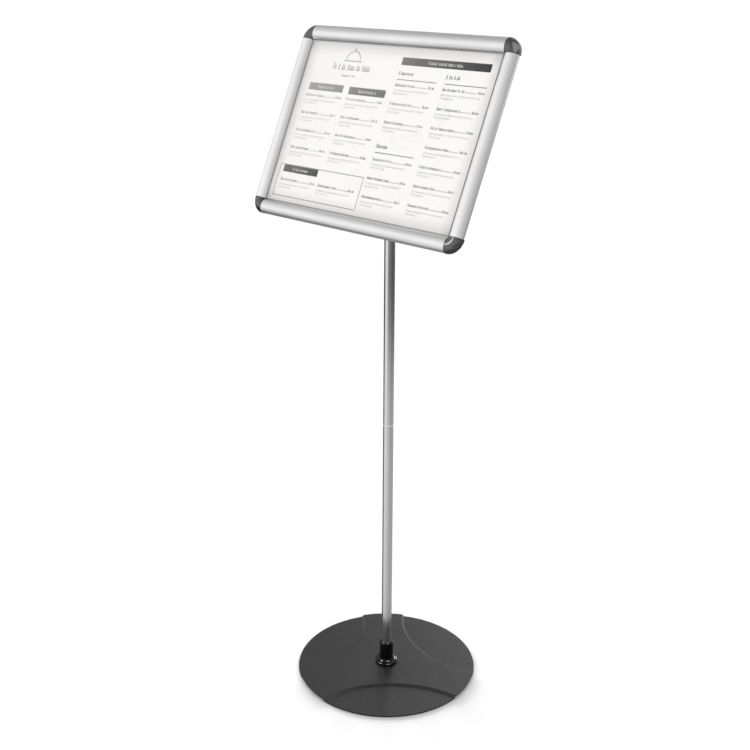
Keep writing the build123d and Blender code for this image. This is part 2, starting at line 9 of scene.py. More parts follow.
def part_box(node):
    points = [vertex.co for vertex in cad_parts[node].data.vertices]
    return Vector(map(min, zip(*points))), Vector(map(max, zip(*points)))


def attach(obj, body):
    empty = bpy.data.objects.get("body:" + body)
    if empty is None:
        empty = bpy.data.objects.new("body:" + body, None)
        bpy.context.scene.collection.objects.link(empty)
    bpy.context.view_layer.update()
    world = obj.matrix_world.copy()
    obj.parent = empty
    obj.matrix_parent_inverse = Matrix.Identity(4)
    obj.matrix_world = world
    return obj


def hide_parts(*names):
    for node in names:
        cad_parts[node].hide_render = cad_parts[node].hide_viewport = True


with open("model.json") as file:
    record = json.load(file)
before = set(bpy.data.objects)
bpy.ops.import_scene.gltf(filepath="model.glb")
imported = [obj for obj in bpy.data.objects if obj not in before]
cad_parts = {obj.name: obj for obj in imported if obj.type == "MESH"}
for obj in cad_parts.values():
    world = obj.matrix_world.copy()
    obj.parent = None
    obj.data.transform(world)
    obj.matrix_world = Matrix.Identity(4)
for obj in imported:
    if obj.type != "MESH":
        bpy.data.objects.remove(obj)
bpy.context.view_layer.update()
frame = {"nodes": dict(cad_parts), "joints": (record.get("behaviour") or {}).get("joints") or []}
nodes = frame["nodes"]
joints = {j["name"]: j for j in frame["joints"]}
SIDES = ("bottom", "right", "top", "left")
MM = 0.001

# ---------------------------------------------------------------- the sign panel's own axes
# u runs to the right, v up the panel, w out of its face; the origin is its centre.
face = Vector(joints["sign_rotate"]["axis"]).normalized()
panel_centre = Vector(joints["sign_rotate"]["pos_m"])
panel_u = Vector((1, 0, 0))
panel_v = face.cross(panel_u)
PANEL_TURN = -math.atan2(panel_v.z, panel_v.y)  # turn about X that carries the panel's axes to the world's


def on_panel(u, v, w):
    """Point of the row frame from panel coordinates."""
    return panel_centre + panel_u * u + panel_v * v + face * w


# ---------------------------------------------------------------- materials


class Surface:
    """A Principled material built up node by node."""

    def __init__(self, name, colour, roughness, metallic=0.0, **sockets):
        self.material = bpy.data.materials.new(name)
        self.material.use_nodes = True
        self.tree = self.material.node_tree
        self.shader = self.tree.nodes["Principled BSDF"]
        self.set("Base Color", (*colour, 1.0))
        self.set("Roughness", roughness)
        self.set("Metallic", metallic)
        for socket, value in sockets.items():
            self.set(socket.replace("_", " "), value)
        self.colour = colour
        self.roughness = roughness
        self.height = None

    def set(self, socket, value):
        self.shader.inputs[socket].default_value = value

    def node(self, kind, **values):
        made = self.tree.nodes.new(kind)
        for key, value in values.items():
            if key in made.inputs:
                made.inputs[key].default_value = value
            else:
                setattr(made, key, value)
        return made

    def link(self, source, target):
        self.tree.links.new(source, target)

    def coordinates(self, turn_x=0.0, stretch=(1, 1, 1)):
        """Object coordinates, turned about X and scaled."""
        place = self.node("ShaderNodeTexCoord")
        turned = self.node("ShaderNodeMapping")
        turned.inputs["Rotation"].default_value = (turn_x, 0, 0)
        self.link(place.outputs["Object"], turned.inputs["Vector"])
        scaled = self.node("ShaderNodeMapping")
        scaled.inputs["Scale"].default_value = stretch
        self.link(turned.outputs["Vector"], scaled.inputs["Vector"])
        return scaled.outputs["Vector"]

    def noise(self, vector, scale, detail=3.0, rough=0.55):
        made = self.node("ShaderNodeTexNoise", Scale=scale, Detail=detail, Roughness=rough)
        self.link(vector, made.inputs["Vector"])
        return made.outputs["Fac"]

    def cells(self, vector, scale):
        made = self.node("ShaderNodeTexVoronoi", Scale=scale)
        self.link(vector, made.inputs["Vector"])
        return made

    def ramp(self, source, stops):
        made = self.node("ShaderNodeValToRGB")
        band = made.color_ramp
        while len(band.elements) < len(stops):
            band.elements.new(0.5)
        for element, (position, value) in zip(band.elements, stops):
            element.position = position
            element.color = (*value, 1.0)
        self.link(source, made.inputs["Fac"])
        return made.outputs["Color"]

    def vary_colour(self, source, spread, low=0.35, high=0.65):
        """Colour drifts by the given fraction each way."""
        dark = tuple(c * (1 - spread) for c in self.colour)
        light = tuple(min(c * (1 + spread), 1.0) for c in self.colour)
        self.link(self.ramp(source, ((low, dark), (high, light))), self.shader.inputs["Base Color"])

    def vary_roughness(self, source, spread, low=0.3, high=0.7):
        """Roughness drifts by the given amount each way."""
        made = self.node("ShaderNodeMapRange")
        made.inputs["From Min"].default_value = low
        made.inputs["From Max"].default_value = high
        made.inputs["To Min"].default_value = self.roughness - spread
        made.inputs["To Max"].default_value = self.roughness + spread
        self.link(source, made.inputs["Value"])
        self.link(made.outputs["Result"], self.shader.inputs["Roughness"])

    def bump(self, source, depth):
        """Adds a bump of that depth in metres, on top of any earlier one."""
        made = self.node("ShaderNodeBump", Strength=1.0, Distance=depth)
        self.link(source, made.inputs["Height"])
        if self.height:
            self.link(self.height, made.inputs["Normal"])
        self.height = made.outputs["Normal"]
        self.link(self.height, self.shader.inputs["Normal"])


BRUSH_FINENESS = 900.0
BRUSH_LENGTHWISE = 5.0
BRUSH_DEPTH = 0.0000025


def brushed(name, colour, roughness, turn_x, along):
    """Satin anodised aluminium with fine lines drawn along one axis (0, 1 or 2)."""
    surface = Surface(name, colour, roughness, 1.0)
    stretch = [BRUSH_FINENESS] * 3
    stretch[along] = BRUSH_LENGTHWISE
    lines = surface.noise(surface.coordinates(turn_x, stretch), 1.0, 4.0, 0.6)
    cloud = surface.noise(surface.coordinates(turn_x), 14.0, 2.0)
    surface.vary_colour(cloud, 0.02)
    surface.vary_roughness(lines, 0.035)
    surface.bump(lines, BRUSH_DEPTH)
    return surface.material


PEEL_FINENESS = 900.0
PEEL_DEPTH = 0.00003
DULL_FADE = 0.0004


def powder_coat(name, colour, roughness, dull_below=0.0):
    """Baked powder paint: fine orange peel, a slight drift of tone and a duller cut edge below a height."""
    surface = Surface(name, colour, roughness)
    place = surface.coordinates()
    if dull_below:
        height = surface.node("ShaderNodeSeparateXYZ")
        surface.link(place, height.inputs[0])
        gloss = surface.node("ShaderNodeMapRange")
        gloss.inputs["From Min"].default_value = dull_below - DULL_FADE
        gloss.inputs["From Max"].default_value = dull_below
        gloss.inputs["To Min"].default_value = 0.0
        gloss.inputs["To Max"].default_value = 0.5
        surface.link(height.outputs["Z"], gloss.inputs["Value"])
        surface.link(gloss.outputs["Result"], surface.shader.inputs["Specular IOR Level"])
    peel = surface.noise(place, PEEL_FINENESS, 2.0, 0.6)
    drift = surface.noise(place, 9.0, 3.0)
    surface.vary_colour(drift, 0.05)
    surface.vary_roughness(peel, 0.05)
    surface.bump(surface.noise(place, PEEL_FINENESS / 4, 2.0), PEEL_DEPTH * 1.5)
    surface.bump(peel, PEEL_DEPTH)
    return surface.material


def plated(name, colour, roughness):
    """Plated or turned metal with a fine random grain."""
    surface = Surface(name, colour, roughness, 1.0)
    place = surface.coordinates()
    grain_noise = surface.noise(place, 350.0)
    surface.vary_colour(surface.noise(place, 60.0, 2.0), 0.06)
    surface.vary_roughness(grain_noise, 0.06)
    surface.bump(grain_noise, 0.000006)
    return surface.material


def galvanised(name):
    """Zinc-coated sheet steel with its spangle of crystals."""
    surface = Surface(name, (0.52, 0.53, 0.55), 0.42, 1.0)
    place = surface.coordinates()
    spangle = surface.cells(place, 110.0)
    tone = surface.node("ShaderNodeSeparateColor")
    surface.link(spangle.outputs["Color"], tone.inputs["Color"])
    surface.vary_colour(tone.outputs["Red"], 0.14, 0.1, 0.9)
    surface.vary_roughness(tone.outputs["Green"], 0.1, 0.0, 1.0)
    surface.bump(surface.noise(place, 500.0), 0.000008)
    return surface.material


def moulded(name, colour, roughness, grain=0.0, drift=0.06, metallic=0.0, **sockets):
    """Moulded plastic or rubber, with an eroded grain where it isn't glossy."""
    surface = Surface(name, colour, roughness, metallic, **sockets)
    place = surface.coordinates()
    surface.vary_colour(surface.noise(place, 35.0, 2.0), drift)
    surface.vary_roughness(surface.noise(place, 180.0), 0.03)
    if grain:
        surface.bump(surface.cells(place, 1400.0).outputs["Distance"], grain)
    return surface.material


def panel_position(surface):
    """Sockets of u and v on the panel, in metres from its centre."""
    place = surface.node("ShaderNodeTexCoord")
    shift = surface.node("ShaderNodeVectorMath", operation="SUBTRACT")
    surface.link(place.outputs["Object"], shift.inputs[0])
    shift.inputs[1].default_value = panel_centre
    found = []
    for axis in (panel_u, panel_v):
        along = surface.node("ShaderNodeVectorMath", operation="DOT_PRODUCT")
        surface.link(shift.outputs[0], along.inputs[0])
        along.inputs[1].default_value = axis
        found.append(along.outputs["Value"])
    return found


# half width and half height of the sheet seen inside the frame, and the grey painted shade that darkens the
# paper near the covers all round it
OPENING = (0.199, 0.1375)
PAINTED_SHADE_REACH = 0.026
PAINTED_SHADE_DEPTH = 0.2


def paper(name):
    """Coated white paper with a faint fibre mottle, and grey painted shade round its border where the
    covers' shadow falls.
    """
    surface = Surface(name, (0.925, 0.9, 0.885), 0.55)
    place = surface.coordinates(PANEL_TURN)
    surface.vary_colour(surface.noise(place, 260.0, 4.0), 0.008)
    tone = surface.shader.inputs["Base Color"].links[0].from_socket
    # painted shade: the paper's colour is darkened toward each border of the opening, standing in for the
    # covers' shadow
    for position, half in zip(panel_position(surface), OPENING):
        across = surface.node("ShaderNodeMath", operation="ABSOLUTE")
        surface.link(position, across.inputs[0])
        fade = surface.node("ShaderNodeMapRange", interpolation_type="SMOOTHSTEP")
        fade.inputs["From Min"].default_value = half - PAINTED_SHADE_REACH
        fade.inputs["From Max"].default_value = half
        fade.inputs["To Min"].default_value = 1.0
        fade.inputs["To Max"].default_value = 1.0 - PAINTED_SHADE_DEPTH
        surface.link(across.outputs[0], fade.inputs["Value"])
        shade = surface.node("ShaderNodeVectorMath", operation="SCALE")
        surface.link(tone, shade.inputs[0])
        surface.link(fade.outputs["Result"], shade.inputs["Scale"])
        tone = shade.outputs[0]
    surface.link(tone, surface.shader.inputs["Base Color"])
    surface.vary_roughness(surface.noise(place, 900.0), 0.05)
    surface.bump(surface.noise(place, 1500.0, 3.0), 0.000006)
    return surface.material


# share of ink hidden by a painted sheen, the clear window's reflection painted as paler ink: at the panel's
# centre, and its change per metre across and up
PAINTED_SHEEN_MIDDLE = 0.05
PAINTED_SHEEN_ACROSS = -1.2
PAINTED_SHEEN_UP = 1.4
PAINTED_SHEEN_TONE = (0.85, 0.83, 0.82, 1.0)


def ink(name, colour):
    """Printed ink, broken by the paper's grain, with a painted reflection of the clear window that pales it
    toward the sheet's upper left.
    """
    surface = Surface(name, colour, 0.5, Specular_IOR_Level=0.1)
    place = surface.coordinates(PANEL_TURN)
    surface.vary_colour(surface.noise(place, 2200.0, 3.0), 0.12)
    surface.vary_roughness(surface.noise(place, 900.0), 0.05)
    u, v = panel_position(surface)
    # painted reflection: the ink's colour is mixed toward a pale tone toward the upper left, standing in for
    # the window's sheen
    painted_sheen = surface.node("ShaderNodeMath", operation="MULTIPLY_ADD")
    surface.link(u, painted_sheen.inputs[0])
    painted_sheen.inputs[1].default_value = PAINTED_SHEEN_ACROSS
    painted_sheen.inputs[2].default_value = PAINTED_SHEEN_MIDDLE
    upward = surface.node("ShaderNodeMath", operation="MULTIPLY_ADD", use_clamp=True)
    surface.link(v, upward.inputs[0])
    upward.inputs[1].default_value = PAINTED_SHEEN_UP
    surface.link(painted_sheen.outputs[0], upward.inputs[2])
    mixed = surface.node("ShaderNodeMix", data_type="RGBA")
    surface.link(upward.outputs[0], mixed.inputs["Factor"])
    surface.link(surface.shader.inputs["Base Color"].links[0].from_socket, mixed.inputs["A"])
    mixed.inputs["B"].default_value = PAINTED_SHEEN_TONE
    surface.link(mixed.outputs["Result"], surface.shader.inputs["Base Color"])
    return surface.material


def clear_sheet(name):
    """Low-glare clear plastic, nearly invisible from in front."""
    surface = Surface(name, (0.95, 0.96, 0.96), 0.32, Alpha=0.02)
    place = surface.coordinates(PANEL_TURN)
    surface.vary_roughness(surface.noise(place, 700.0), 0.06)
    surface.bump(surface.noise(place, 2500.0, 2.0), 0.000004)
    return surface.material


COATING_EDGE = 0.0027  # height under which the base plate's cut edge is duller
rail_across = brushed("rail_aluminium_across", (0.8, 0.8, 0.805), 0.25, PANEL_TURN, 0)
# painted highlight: the upright rails are the same aluminium as the rails across, given a lighter colour so
# that their crests read brighter
rail_upright_lightened = brushed("rail_aluminium_upright_painted_highlight", (0.92, 0.92, 0.925), 0.25, PANEL_TURN, 1)
pole_metal = brushed("pole_aluminium", (0.8, 0.8, 0.805), 0.17, 0.0, 2)
zinc = plated("zinc_steel", (0.62, 0.61, 0.58), 0.32)
black_paint = powder_coat("head_paint", (0.02, 0.02, 0.021), 0.45)

FINISHES = {
    "base_plate": powder_coat("base_paint", (0.0125, 0.0127, 0.0132), 0.29, dull_below=COATING_EDGE),
    "floor_pads": moulded("pad_rubber", (0.02, 0.02, 0.02), 0.8, grain=0.00002),
    "base_collar": moulded("collar_plastic", (0.001, 0.001, 0.0011), 0.1, Specular_IOR_Level=0.2),
    "lower_pole": pole_metal,
    "upper_pole": pole_metal,
    "joint_ring": moulded("ring_nylon", (0.72, 0.72, 0.7), 0.4, grain=0.000005),
    "swivel_washer": moulded("washer_nylon", (0.66, 0.66, 0.64), 0.5, grain=0.000005),
    "friction_washers": moulded("washer_fibre", (0.3, 0.12, 0.06), 0.7, grain=0.00001),
    "pole_head": black_paint,
    "tilt_bracket": black_paint,
    "clamp_knob": moulded("knob_plastic", (0.015, 0.015, 0.016), 0.5, grain=0.00002),
    "knob_insert": plated("insert_brass", (0.7, 0.5, 0.22), 0.3),
    "mounting_plate": galvanised("plate_steel"),
    "backing_panel": moulded("backing_board", (0.2, 0.2, 0.198), 0.6, grain=0.00001, drift=0.02),
    "poster_sheet": paper("poster_paper"),
    "clear_window": clear_sheet("window_clear"),
}
spring_steel = plated("spring_steel", (0.3, 0.31, 0.34), 0.3)
cap_gloss = moulded("cap_plastic", (0.14, 0.14, 0.142), 0.2, metallic=1.0)
for side in SIDES:
    metal = rail_across if side in ("top", "bottom") else rail_upright_lightened
    FINISHES[f"base_rail_{side}"] = metal
    FINISHES[f"snap_cover_{side}"] = metal
    FINISHES[f"leaf_springs_{side}"] = spring_steel
for corner in ("bottom_left", "bottom_right", "top_left", "top_right"):
    FINISHES[f"corner_cap_{corner}"] = cap_gloss
for name, node in nodes.items():
    for material_slot in node.material_slots:
        material_slot.material = FINISHES.get(name, zinc)

# ---------------------------------------------------------------- turned collar, and dark strips of painted shadow at the covers' lips


def arc_through(start, middle, end, steps):
    """Points of the circular arc through three points of a profile, the first one left out."""
    (ax, ay), (bx, by), (cx, cy) = start, middle, end
    d = 2 * (ax * (by - cy) + bx * (cy - ay) + cx * (ay - by))
    a2, b2, c2 = ax * ax + ay * ay, bx * bx + by * by, cx * cx + cy * cy
    ox = (a2 * (by - cy) + b2 * (cy - ay) + c2 * (ay - by)) / d
    oy = (a2 * (cx - bx) + b2 * (ax - cx) + c2 * (bx - ax)) / d
    radius = math.hypot(ax - ox, ay - oy)
    first = math.atan2(ay - oy, ax - ox)
    sweep = (math.atan2(cy - oy, cx - ox) - first + math.pi) % math.tau - math.pi
    angles = [first + sweep * k / steps for k in range(1, steps + 1)]
    return [(ox + radius * math.cos(t), oy + radius * math.sin(t)) for t in angles]


# the collar's section in millimetres: radii and heights
COLLAR_BORE = 9.1
RING_UNDERCUT = 0.9
RING_RISE = 5.4
RING_SHOULDER = 3.1
FLARE_RISE = 7.0
SLEEVE_FOOT = 12.8
SLEEVE_TOP = 12.1
SLEEVE_ROUNDING = 0.8
COLLAR_TURNS = 96


def collar_profile(ring, height):
    """Radius and height of each point of the section, from the bore's foot up to the bore's top."""
    shoulder = (ring - RING_SHOULDER, RING_RISE)
    flare_end = (SLEEVE_FOOT, RING_RISE + FLARE_RISE)
    profile = [(COLLAR_BORE, 0.0), (ring - RING_UNDERCUT, 0.0)]
    profile += arc_through(profile[-1], (ring, RING_RISE * 0.4), shoulder, 14)
    profile += arc_through(shoulder, (SLEEVE_FOOT + 1.3, RING_RISE + FLARE_RISE * 0.32), flare_end, 10)
    profile.append((SLEEVE_TOP, height - SLEEVE_ROUNDING))
    profile += arc_through(profile[-1], (SLEEVE_TOP - 0.3, height - 0.2), (SLEEVE_TOP - 0.9, height), 4)
    profile.append((COLLAR_BORE, height))
    return profile


def turned_collar():
    """The base collar as one smooth turned skin: sleeve, concave flare and rounded foot ring."""
    low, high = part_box("base_collar")
    profile = collar_profile((high.x - low.x) / 2 / MM, (high.z - low.z) / MM)
    mesh = bmesh.new()
    rings = []
    for k in range(COLLAR_TURNS):
        angle = math.tau * k / COLLAR_TURNS
        out_x, out_y = MM * math.cos(angle), MM * math.sin(angle)
        rings.append([mesh.verts.new((r * out_x, r * out_y, low.z + z * MM)) for r, z in profile])
    for k in range(COLLAR_TURNS):
        here, there = rings[k], rings[(k + 1) % COLLAR_TURNS]
        for i in range(len(profile)):
            j = (i + 1) % len(profile)
            mesh.faces.new((here[i], there[i], there[j], here[j]))
    data = bpy.data.meshes.new("collar")
    bmesh.ops.recalc_face_normals(mesh, faces=mesh.faces)
    mesh.to_mesh(data)
    mesh.free()
    data.shade_smooth()
    data.set_sharp_from_angle(angle=math.radians(40))
    piece = bpy.data.objects.new("collar", data)
    bpy.context.scene.collection.objects.link(piece)
    data.materials.append(FINISHES["base_collar"])
    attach(piece, "stand")
    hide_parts("base_collar")
    return piece


collar = turned_collar()
WINDOW_FACE = -0.0001  # the clear window's front, along the panel's w axis
# visible width of each dark strip, a painted shadow of the gap under the lip: the right cover's lip leaves
# more of its strip in sight
SHADE_LINE_WIDTHS = {"bottom": 0.0006, "right": 0.0012, "top": 0.0006, "left": 0.0004}
SHADE_LINE_HEIGHT = 0.0005
SHADE_LINE_GAP = 0.0002
SHADE_LINE_ROUNDING = SHADE_LINE_HEIGHT * 0.2


def lip_shadow_strip(side, material):
    """Thin dark strip of painted shadow along a cover's inner lip, lying on the clear window where the gap
    under the lip is in shade.
    """
    across, up = OPENING
    width = SHADE_LINE_WIDTHS[side]
    # the upright strips stop just short of the other two
    foot = -up + SHADE_LINE_WIDTHS["bottom"] + SHADE_LINE_GAP
    head = up - SHADE_LINE_WIDTHS["top"] - SHADE_LINE_GAP
    spans = {
        "bottom": (-across, across, -up, -up + width),
        "top": (-across, across, up - width, up),
        "left": (-across, -across + width, foot, head),
        "right": (across - width, across, foot, head),
    }
    u0, u1, v0, v1 = spans[side]
    mesh = bmesh.new()
    corners = ((u0, v0), (u1, v0), (u1, v1), (u0, v1))
    low = [mesh.verts.new(on_panel(u, v, WINDOW_FACE)) for u, v in corners]
    high = [mesh.verts.new(on_panel(u, v, WINDOW_FACE + SHADE_LINE_HEIGHT)) for u, v in corners]
    mesh.faces.new(high)
    mesh.faces.new(low[::-1])
    for i in range(4):
        j = (i + 1) % 4
        mesh.faces.new((low[i], low[j], high[j], high[i]))
    bmesh.ops.recalc_face_normals(mesh, faces=mesh.faces)
    bmesh.ops.bevel(mesh, geom=mesh.edges[:], offset=SHADE_LINE_ROUNDING, segments=2, affect="EDGES", profile=0.5)
    data = bpy.data.meshes.new(f"seal_{side}")
    mesh.to_mesh(data)
    mesh.free()
    piece = bpy.data.objects.new(f"seal_{side}", data)
    bpy.context.scene.collection.objects.link(piece)
    data.materials.append(material)
    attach(piece, f"cover_{side}")


# painted shadow: a dark strip stands in for the shade in the gap between each lip and the window
seal_rubber = moulded("seal_rubber", (0.12, 0.12, 0.122), 0.6, grain=0.000005)
for side in SIDES:
    lip_shadow_strip(side, seal_rubber)

# ---------------------------------------------------------------- printed sheet
# Millimetres on the panel, turned into thin slabs of ink that lie on the poster.
INK_BASE = -0.0017
INK_DEPTH = 0.00004


def slab(mesh, corners, layer=0):
    """Adds a thin closed slab of ink over a convex outline given in millimetres."""
    base = INK_BASE + layer * INK_DEPTH
    low = [mesh.verts.new(on_panel(u * MM, v * MM, base)) for u, v in corners]
    high = [mesh.verts.new(on_panel(u * MM, v * MM, base + INK_DEPTH)) for u, v in corners]
    mesh.faces.new(high)
    mesh.faces.new(low[::-1])
    count = len(corners)
    for i in range(count):
        j = (i + 1) % count
        mesh.faces.new((low[i], low[j], high[j], high[i]))


def bar(mesh, u, v, width, height, slant=0.0, layer=0):
    """Rectangle from its lower left corner, leaning over by slant."""
    slab(mesh, ((u, v), (u + width, v), (u + width + slant, v + height), (u + slant, v + height)), layer)


# strokes that stand for lettering: heights are shares of the x-height, widths are shares of a stem's width
FIRST_STEM_HEIGHT = 1.45
WORD_STEM_HEIGHT = 1.2
STEM_HEIGHTS = (0.9, 1.0, 1.0, 1.0, 1.1)
STEM_LEAN = 0.2
STEM_PITCH = (1.9, 2.4)
FOOT_CHANCE = 0.6
FOOT_WIDTH = 0.9
FOOT_HEIGHT = 0.28
WORD_GAP = 0.55


def words(mesh, u, v, end, x_height, weight=0.34, gap_chance=0.18, layer=0):
    """Slanting stems in groups, joined by short feet, that spell nothing."""
    stem = x_height * weight
    pen = u
    tall = x_height * FIRST_STEM_HEIGHT
    while pen + stem < end:
        bar(mesh, pen, v, stem, tall, STEM_LEAN * tall, layer)
        if rng.random() < FOOT_CHANCE:
            bar(mesh, pen + stem, v, stem * FOOT_WIDTH, x_height * FOOT_HEIGHT, 0.0, layer)
        pen += stem * rng.uniform(*STEM_PITCH)
        tall = x_height * rng.choice(STEM_HEIGHTS)
        if rng.random() < gap_chance:
            pen += x_height * WORD_GAP
            tall = x_height * WORD_STEM_HEIGHT


def line(mesh, points, width, closed=False):
    """Thin line through points, as one slab for each stretch."""
    ends = points[1:] + points[:1] if closed else points[1:]
    for (u0, v0), (u1, v1) in zip(points, ends):
        length = math.hypot(u1 - u0, v1 - v0)
        du, dv = (v0 - v1) * width / 2 / length, (u1 - u0) * width / 2 / length
        slab(mesh, ((u0 - du, v0 - dv), (u1 - du, v1 - dv), (u1 + du, v1 + dv), (u0 + du, v0 + dv)))


def finish_print(mesh, name, material):
    """Turns the slabs gathered so far into one piece on the sign."""
    data = bpy.data.meshes.new(name)
    bmesh.ops.recalc_face_normals(mesh, faces=mesh.faces)
    mesh.to_mesh(data)
    mesh.free()
    piece = bpy.data.objects.new(name, data)
    bpy.context.scene.collection.objects.link(piece)
    data.materials.append(material)
    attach(piece, "sign")


rng = random.Random(7)
# the lists of entries
ROW_PITCH = 30.0
COLUMN_WIDTH = 80.5
COLUMNS = (-178.5, -86.5, 8.2, 104.0)
FIGURE_WIDTH = 12.5
DOT_PITCH = 4.2
DOT_LENGTH = 1.9
DOT_HEIGHT = 1.2
TITLE_HEIGHT = 3.3
TITLE_WEIGHT = 0.38
DETAIL_HEIGHT = 2.5
DETAIL_DROPS = (7.8, 12.8)  # how far the two fainter lines lie under the title
DETAIL_SPANS = ((0.86, 0.95), (0.3, 0.4))  # how much of the column each of them fills
titles = bmesh.new()
leaders = bmesh.new()
details = bmesh.new()


def item(u, v):
    """One entry of a list: a title, a dotted leader, a figure and two fainter lines."""
    title_end = u + COLUMN_WIDTH * rng.uniform(0.5, 0.56)
    figure = u + COLUMN_WIDTH - FIGURE_WIDTH
    words(titles, u, v, title_end, TITLE_HEIGHT, TITLE_WEIGHT)
    pen = title_end + DOT_LENGTH
    while pen < figure - DOT_LENGTH:
        bar(leaders, pen, v, DOT_LENGTH, DOT_HEIGHT)
        pen += DOT_PITCH
    words(titles, figure, v, u + COLUMN_WIDTH, 3.0, TITLE_WEIGHT)
    for drop, span in zip(DETAIL_DROPS, DETAIL_SPANS):
        words(details, u, v - drop, u + COLUMN_WIDTH * rng.uniform(*span), DETAIL_HEIGHT, gap_chance=0.3)


# for each group of lists: how many rows, then each list's left edge and the height of its first row
LISTS = (
    (4, ((COLUMNS[0], 43.7), (COLUMNS[1], 43.4))),
    (3, ((COLUMNS[2], 74.3), (COLUMNS[2], -45.5))),
    (7, ((COLUMNS[3], 74.3),)),
    (1, ((-179.5, -101.5), (-91.5, -101.5))),
)
for rows, tops in LISTS:
    for row in range(rows):
        for u, top in tops:
            item(u, top - row * ROW_PITCH)
finish_print(titles, "print_item_titles", ink("ink_dark", (0.05, 0.05, 0.055)))
finish_print(leaders, "print_leaders", ink("ink_leader", (0.09, 0.09, 0.095)))
finish_print(details, "print_item_details", ink("ink_pale", (0.5, 0.495, 0.49)))

headings = bmesh.new()
RULE_HEIGHT = 1.1
for u, v, end, x_height in ((8.5, 92.6, 42, 4.0), (104.3, 92.6, 131, 4.6), (7.5, -25, 30, 4.6)):
    words(headings, u, v, end, x_height)
for u, v in ((8.2, 84.4), (104.5, 84.2), (7.7, -33.2)):
    bar(headings, u, v, COLUMN_WIDTH, RULE_HEIGHT)
finish_print(headings, "print_rules_and_headings", ink("ink_heading", (0.06, 0.06, 0.065)))
BOX_LEFT, BOX_RIGHT = -188.0, 1.6
BOX_FOOT, BOX_TOP = -127.5, -74.6
BOX_LINE = 0.9
box = [(BOX_LEFT, BOX_FOOT), (BOX_RIGHT, BOX_FOOT), (BOX_RIGHT, BOX_TOP), (BOX_LEFT, BOX_TOP)]
outline = bmesh.new()
line(outline, box, BOX_LINE, closed=True)
finish_print(outline, "print_box_outline", ink("ink_box", (0.05, 0.05, 0.055)))

# a covered dish with two rows of strokes stands where the sheet's own title would be
TITLE_U = -96.0
TITLE_V = 109.0
DISH_RADIUS = 15.0
DISH_LINE = 1.5
PLATE_OVERHANG = 5.0
PLATE_DROP = 2.6
PLATE_HEIGHT = 1.6
KNOB_RADIUS = 2.0
KNOB_RISE = 3
# half width, drop under the dish, x-height and weight of each row of strokes
EMBLEM_ROWS = ((40, 17, 7.5, 0.25), (16, 28, 3.0, 0.34))


def arc_points(u, v, radius, turn, steps):
    """Points along an arc round (u, v), from its right, both ends included."""
    angles = [turn * k / steps for k in range(steps + 1)]
    return [(u + radius * math.cos(t), v + radius * math.sin(t)) for t in angles]


emblem = bmesh.new()
line(emblem, arc_points(TITLE_U, TITLE_V, DISH_RADIUS, math.pi, 18), DISH_LINE)
plate_reach = DISH_RADIUS + PLATE_OVERHANG
bar(emblem, TITLE_U - plate_reach, TITLE_V - PLATE_DROP, 2 * plate_reach, PLATE_HEIGHT)
slab(emblem, arc_points(TITLE_U, TITLE_V + DISH_RADIUS + KNOB_RISE, KNOB_RADIUS, math.tau, 10)[:-1])
for half_width, drop, x_height, weight in EMBLEM_ROWS:
    words(emblem, TITLE_U - half_width, TITLE_V - drop, TITLE_U + half_width, x_height, weight)
finish_print(emblem, "print_emblem", ink("ink_emblem", (0.16, 0.16, 0.165)))

# faint leaves behind the lists: place of the stalk, length and turn in degrees
LEAVES = ((30, -8, 62, 12), (-25, -108, 46, 80), (60, -118, 50, 70), (120, 20, 44, 95), (-120, -30, 48, 60))
LEAF_EDGES = (-0.3, 0.0, 0.3)  # one edge, the midrib and the other edge, as shares of the length
LEAF_STEPS = 12
leaves = bmesh.new()
for u, v, length, turned in LEAVES:
    cosine, sine = math.cos(math.radians(turned)), math.sin(math.radians(turned))
    for bulge in LEAF_EDGES:
        points = []
        for k in range(LEAF_STEPS + 1):
            along = k / LEAF_STEPS
            x, y = length * along, length * bulge * math.sin(math.pi * along)
            points.append((u + x * cosine - y * sine, v + x * sine + y * cosine))
        line(leaves, points, 0.5)
finish_print(leaves, "print_leaves", ink("ink_faint", (0.72, 0.71, 0.705)))

# solid bands: piece, ink and its colour, lower left corner, width and height
BANDS = (
    ("print_header_band", "ink_header", (0.018, 0.018, 0.02), 8.5, 108.1, 174.5, 12.4),
    ("print_box_band", "ink_box_band", (0.015, 0.015, 0.016), -179.5, -87.0, 80, 11.7),
    ("print_middle_band", "ink_middle", (0.055, 0.055, 0.057), -85.5, 53.3, 79.2, 12.3),
    ("print_grey_band", "ink_grey", (0.12, 0.12, 0.122), -177.5, 54.1, 78.6, 12.3),
)
BAND_WORDS_REACH = 0.24
BAND_WORDS_MOST = 34
reversed_out = bmesh.new()
for name, ink_name, tone, u, v, width, height in BANDS:
    band = bmesh.new()
    bar(band, u, v, width, height)
    finish_print(band, name, ink(ink_name, tone))
    middle = u + width / 2
    reach = min(width * BAND_WORDS_REACH, BAND_WORDS_MOST)
    words(reversed_out, middle - reach, v + height * 0.32, middle + reach, height * 0.3, layer=1)
finish_print(reversed_out, "print_reversed_strokes", ink("ink_reverse", (0.62, 0.61, 0.6)))

# ---------------------------------------------------------------- floor, light and camera

FLOOR_ALBEDO = 0.615
FLOOR_REACH = 60.0
corners = [(x * FLOOR_REACH, y * FLOOR_REACH, 0) for x, y in ((-1, -1), (1, -1), (1, 1), (-1, 1))]
floor_data = bpy.data.meshes.new("floor")
floor_data.from_pydata(corners, [], [(0, 1, 2, 3)])
floor = bpy.data.objects.new("floor", floor_data)
bpy.context.scene.collection.objects.link(floor)
floor_surface = Surface("studio_floor", (FLOOR_ALBEDO,) * 3, 0.9)
floor_surface.set("Specular IOR Level", 0.0)
floor_data.materials.append(floor_surface.material)
floor.visible_glossy = False


def direction(azimuth, elevation):
    """Unit vector from the stand toward a light. Azimuth 0 is in front of the sign, 90 to its right."""
    a = math.radians(azimuth)
    e = math.radians(elevation)
    return Vector((math.sin(a) * math.cos(e), -math.cos(a) * math.cos(e), math.sin(e)))


